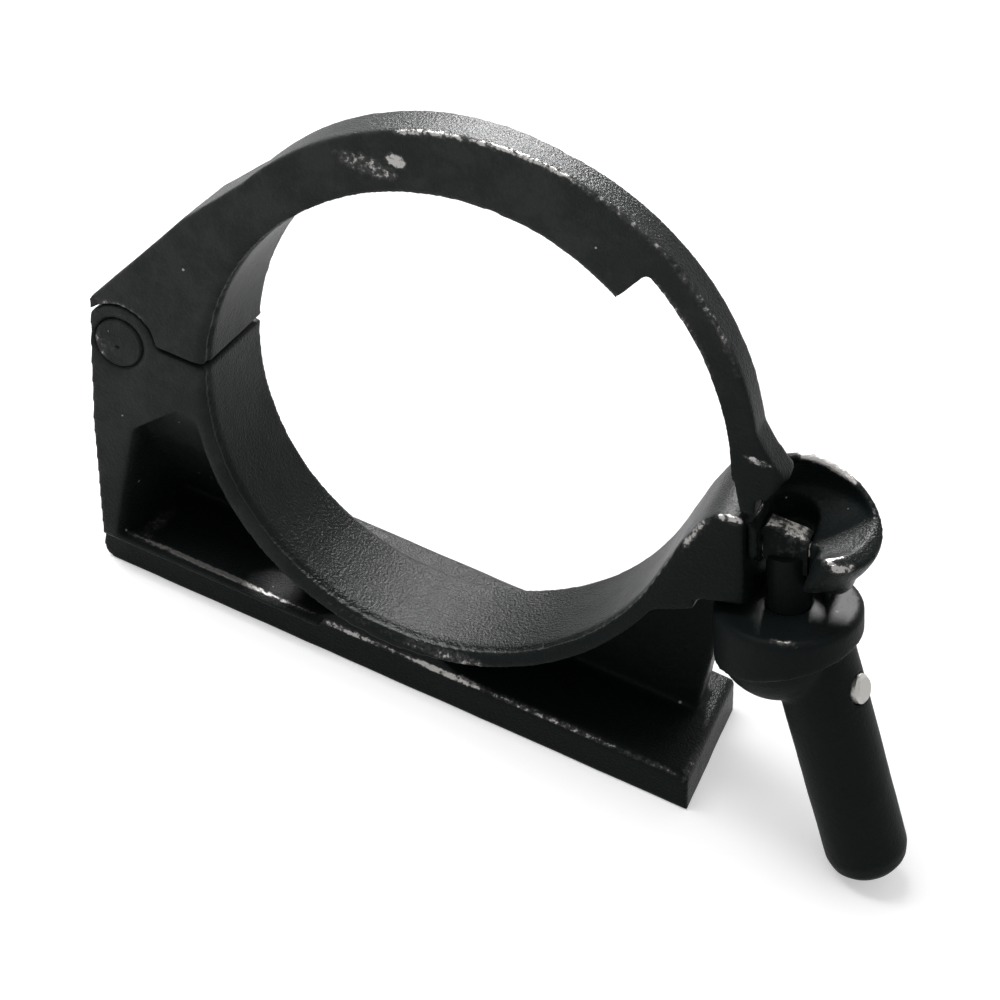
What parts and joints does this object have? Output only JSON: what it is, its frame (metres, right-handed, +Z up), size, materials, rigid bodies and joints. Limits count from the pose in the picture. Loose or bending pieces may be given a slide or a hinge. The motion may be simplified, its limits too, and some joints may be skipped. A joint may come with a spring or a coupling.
{
  "type": "pipe clamp",
  "caption": "Hinged saddle clamp that holds a round delivery pipe on a flat foot, with an upper strap drawn down by a swing bolt and a lever nut",
  "frame": {"origin": "on the pipe's axis at the middle of the saddle's width", "axes": "+X along the foot from the hinge to the lock, +Y along the pipe away from the front face, +Z up from the foot"},
  "size_m": [0.2567, 0.0625, 0.1722],
  "materials": {
    "black_painted_casting": "black paint on sand-cast iron, worn bright on the edges",
    "black_painted_steel": "black paint, worn bright on the eye of the bolt",
    "bare_steel": "bare steel"
  },
  "bodies": {
    "base": {"base_casting": "black_painted_casting", "hinge_pin": "black_painted_steel"},
    "strap": {"clamp_strap": "black_painted_casting", "bolt_pivot_pin": "bare_steel"},
    "bolt": {"swing_bolt": "black_painted_steel"},
    "nut": {"lever_nut": "black_painted_steel", "lever_cross_pin": "bare_steel"}
  },
  "joints": [
    {"name": "strap_hinge", "type": "hinge", "parent": "base", "child": "strap", "pos_m": [-0.0926, 0, -0.0114], "axis": [0, -1, 0], "range_deg": [0, 80]},
    {"name": "bolt_swing", "type": "hinge", "parent": "strap", "child": "bolt", "pos_m": [0.0941, -0.007, 0.00429], "axis": [-0.9511, 0, -0.309], "range_deg": [0, 90]},
    {"name": "nut_turn", "type": "hinge", "parent": "bolt", "child": "nut", "pos_m": [0.0992, -0.007, -0.0114], "axis": [0.309, 0, -0.9511], "range_deg": [-120, 120]}
  ]
}
